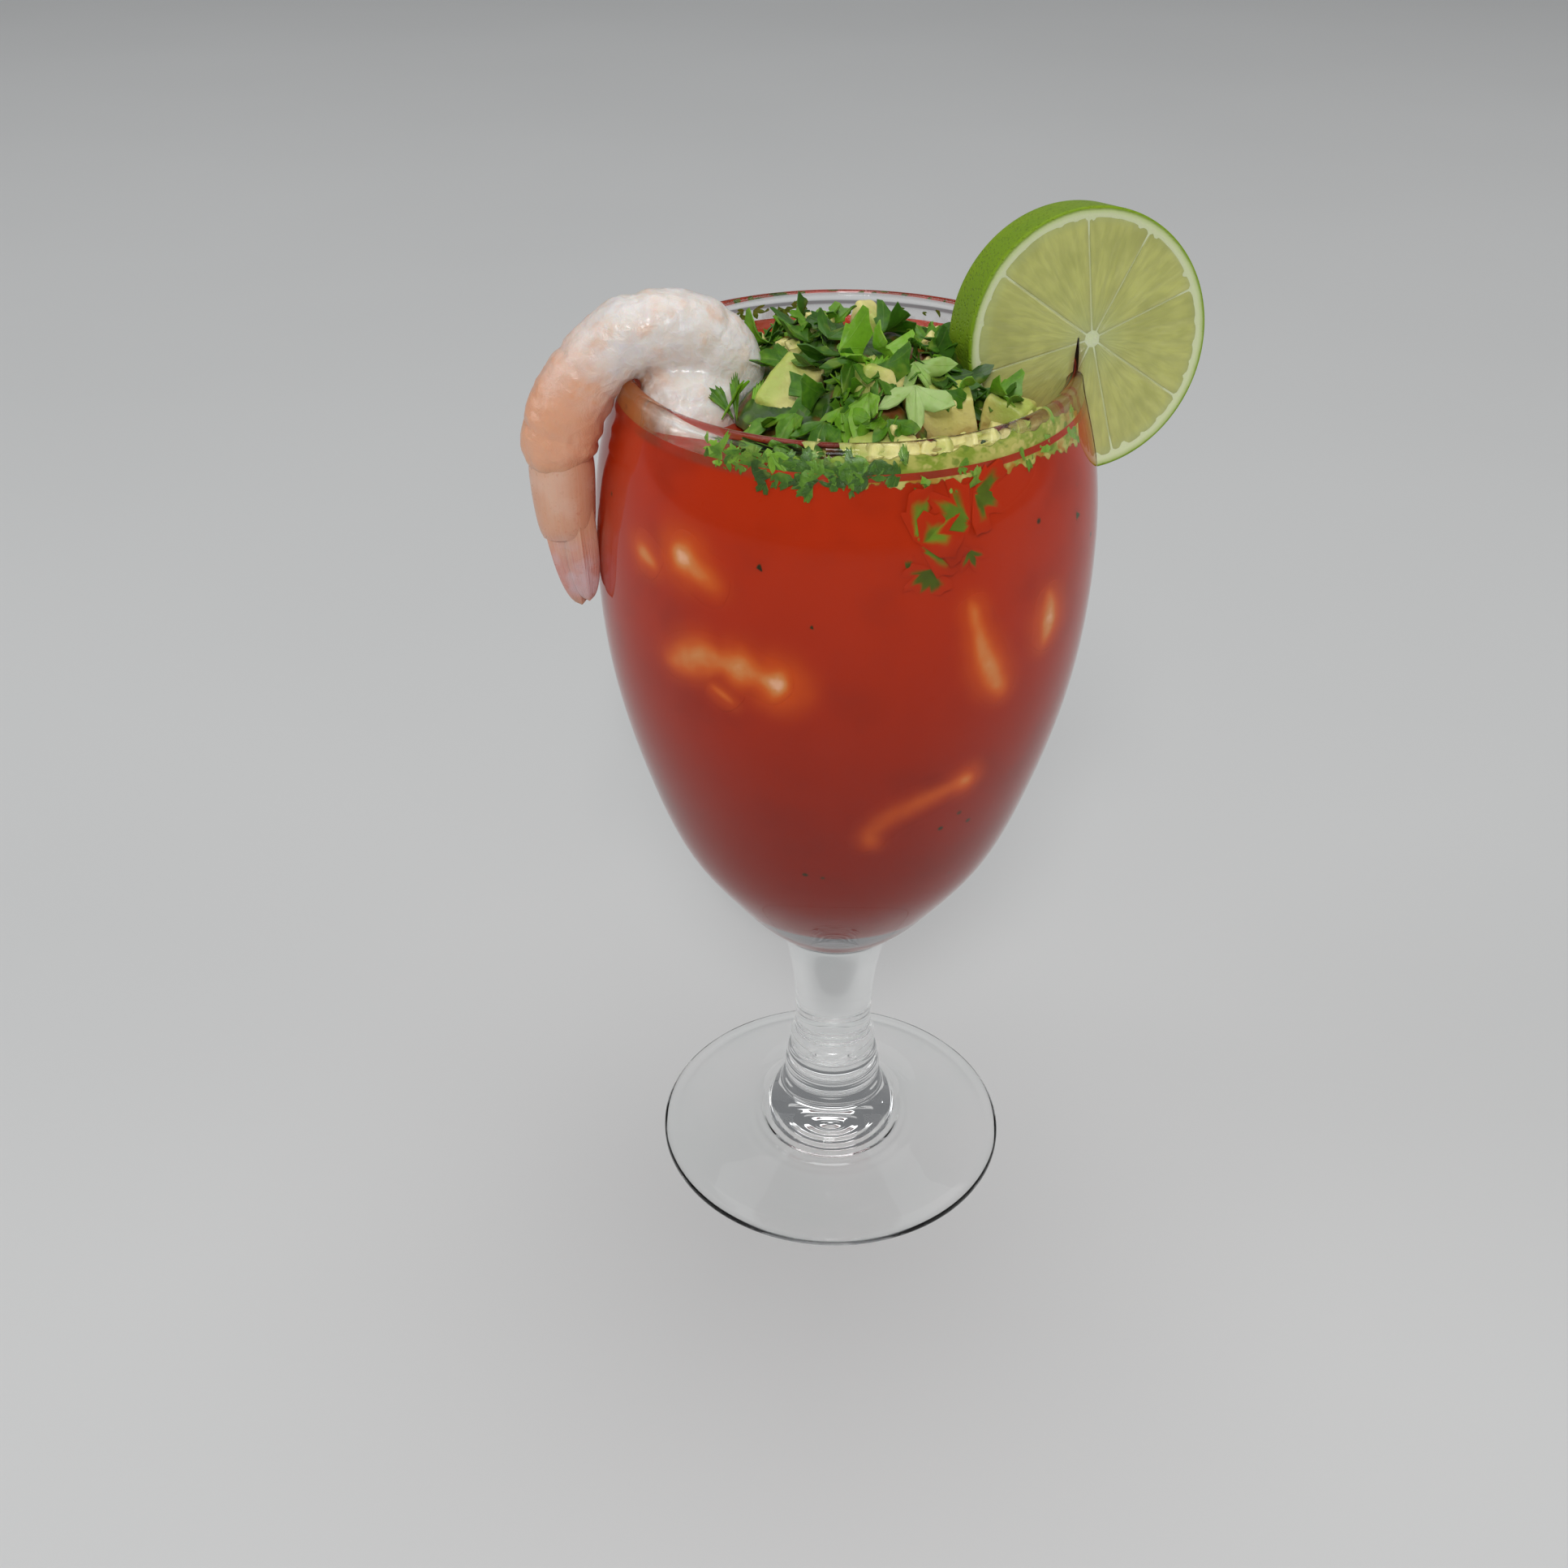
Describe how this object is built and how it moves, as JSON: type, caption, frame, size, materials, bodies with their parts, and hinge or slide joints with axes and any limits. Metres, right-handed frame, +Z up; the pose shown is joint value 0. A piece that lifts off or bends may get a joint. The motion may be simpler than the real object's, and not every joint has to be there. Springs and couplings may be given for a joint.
{
  "type": "prawn cocktail",
  "caption": "Prawn cocktail served in a stemmed glass goblet: tomato cocktail sauce, prawn and lime wheel on the rim, avocado dice and chopped coriander.",
  "frame": {"origin": "centre of the goblet foot's flat underside", "axes": "+Z up along the goblet's axis; the lime wheel is towards +X, the prawn towards -X, and -Y faces the viewer"},
  "size_m": [0.1178, 0.0914, 0.2077],
  "materials": {
    "goblet_glass": "clear polished pressed glass",
    "cocktail_sauce": "wet, thick tomato sauce",
    "prawn_flesh": "moist cooked prawn, white on the back and salmon towards the tail",
    "lime": "cut lime: juicy pale green flesh, white pith, waxy green rind",
    "avocado_flesh": "soft buttery cut avocado, green at the outside",
    "coriander_leaf": "fresh chopped leaf and stalk"
  },
  "bodies": {
    "root": {"goblet": "goblet_glass", "cocktail_sauce": "cocktail_sauce", "rim_prawn": "prawn_flesh", "lime_wheel": "lime", "avocado_01": "avocado_flesh", "avocado_02": "avocado_flesh", "avocado_03": "avocado_flesh", "avocado_04": "avocado_flesh", "avocado_05": "avocado_flesh", "avocado_06": "avocado_flesh", "avocado_07": "avocado_flesh", "avocado_08": "avocado_flesh", "avocado_09": "avocado_flesh", "avocado_10": "avocado_flesh", "avocado_11": "avocado_flesh", "coriander_heap": "coriander_leaf"}
  },
  "joints": []
}
